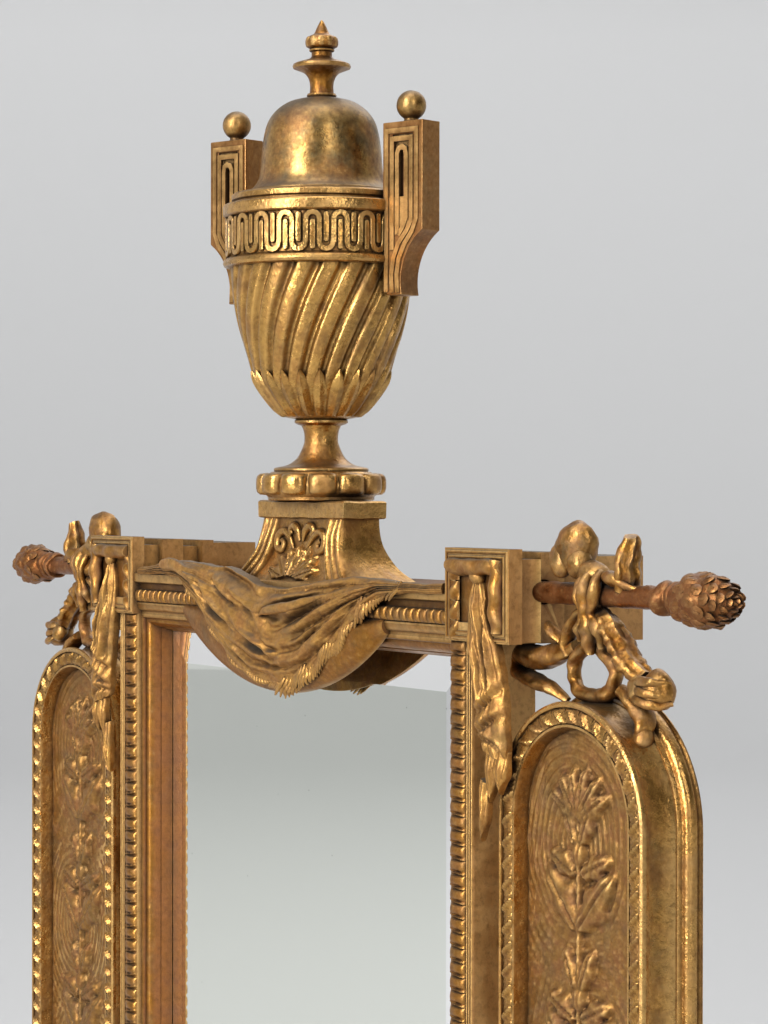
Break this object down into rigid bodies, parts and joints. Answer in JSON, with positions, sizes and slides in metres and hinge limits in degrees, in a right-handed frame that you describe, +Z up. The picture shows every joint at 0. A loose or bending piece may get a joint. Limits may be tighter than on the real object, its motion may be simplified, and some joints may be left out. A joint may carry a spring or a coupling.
{
  "type": "wall mirror",
  "caption": "Gilt bronze wall mirror: bevelled glass in a moulded frame with stepped corner blocks, lidded urn on top, swag of drapery and arched relief panels on the sides.",
  "frame": {"origin": "centre of the hanging batten's back face, on the wall plane", "axes": "+X to the right of someone facing the mirror, +Y into the wall, +Z up; the glass faces -Y"},
  "size_m": [0.3692, 0.0542, 0.4228],
  "materials": {
    "gilt_bronze": "cast bronze, worn gilding, dark patina in the hollows",
    "gilt_bronze_russet": "cast bronze, reddish brown patina",
    "relief_bronze": "cast bronze, matt ochre patina",
    "drapery_bronze": "cast bronze, matt gilding with dust in the folds",
    "plain_brass": "dull brass",
    "iron": "dark oxidised iron",
    "mirror_glass": "silvered bevelled glass",
    "back_board_wood": "aged oak, unpolished"
  },
  "bodies": {
    "frame": {"back_board": "back_board_wood", "batten_screws": "iron", "bottom_rail": "gilt_bronze", "bow_rod_left": "gilt_bronze_russet", "bow_rod_right": "gilt_bronze_russet", "corner_block_bottom_left": "gilt_bronze", "corner_block_bottom_right": "gilt_bronze", "corner_block_top_left": "gilt_bronze", "corner_block_top_right": "gilt_bronze", "drape_tail_left": "drapery_bronze", "drape_tail_right": "drapery_bronze", "finial": "gilt_bronze", "frame_dowels": "iron", "handle_ball_left": "gilt_bronze", "handle_ball_right": "gilt_bronze", "handle_left": "gilt_bronze", "handle_right": "gilt_bronze", "hanger_pin": "iron", "hanger_plate": "plain_brass", "hanger_screws": "iron", "hanging_batten": "back_board_wood", "left_stile": "gilt_bronze", "lobed_ring": "gilt_bronze", "lunette": "gilt_bronze", "mirror_glass": "mirror_glass", "pedestal": "gilt_bronze", "pinecone_left": "gilt_bronze_russet", "pinecone_right": "gilt_bronze_russet", "relief_panel_left": "relief_bronze", "relief_panel_right": "relief_bronze", "ribbon_bow_left": "gilt_bronze", "ribbon_bow_right": "gilt_bronze", "right_stile": "gilt_bronze", "sight_moulding": "gilt_bronze", "swag": "drapery_bronze", "tie_nut": "iron", "tie_rod": "iron", "top_rail": "gilt_bronze", "turn_button_screws": "iron", "urn_band": "gilt_bronze", "urn_bowl": "gilt_bronze", "urn_foot": "gilt_bronze", "urn_lid": "gilt_bronze", "wing_frame_left": "gilt_bronze", "wing_frame_right": "gilt_bronze", "wing_plate_left": "gilt_bronze", "wing_plate_right": "gilt_bronze", "wing_strap_screws": "iron", "wing_straps": "iron"},
    "turn_button_bottom_left": {"turn_button_bottom_left": "plain_brass"},
    "turn_button_bottom_right": {"turn_button_bottom_right": "plain_brass"},
    "turn_button_top_left": {"turn_button_top_left": "plain_brass"},
    "turn_button_top_right": {"turn_button_top_right": "plain_brass"},
    "hanging_eye": {"hanging_eye": "plain_brass"}
  },
  "joints": [
    {"name": "hanging_eye_swing", "type": "hinge", "parent": "frame", "child": "hanging_eye", "pos_m": [0, -0.008, -0.013], "axis": [1, 0, 0], "range_deg": [-20, 80]},
    {"name": "turn_button_top_left_turn", "type": "hinge", "parent": "frame", "child": "turn_button_top_left", "pos_m": [-0.08785, -0.0219, -0.058], "axis": [0, -1, 0], "range_deg": [-90, 90]},
    {"name": "turn_button_top_right_turn", "type": "hinge", "parent": "frame", "child": "turn_button_top_right", "pos_m": [0.08785, -0.0219, -0.058], "axis": [0, 1, 0], "range_deg": [-90, 90]},
    {"name": "turn_button_bottom_left_turn", "type": "hinge", "parent": "frame", "child": "turn_button_bottom_left", "pos_m": [-0.08785, -0.0219, -0.188], "axis": [0, -1, 0], "range_deg": [-90, 90]},
    {"name": "turn_button_bottom_right_turn", "type": "hinge", "parent": "frame", "child": "turn_button_bottom_right", "pos_m": [0.08785, -0.0219, -0.188], "axis": [0, 1, 0], "range_deg": [-90, 90]}
  ]
}
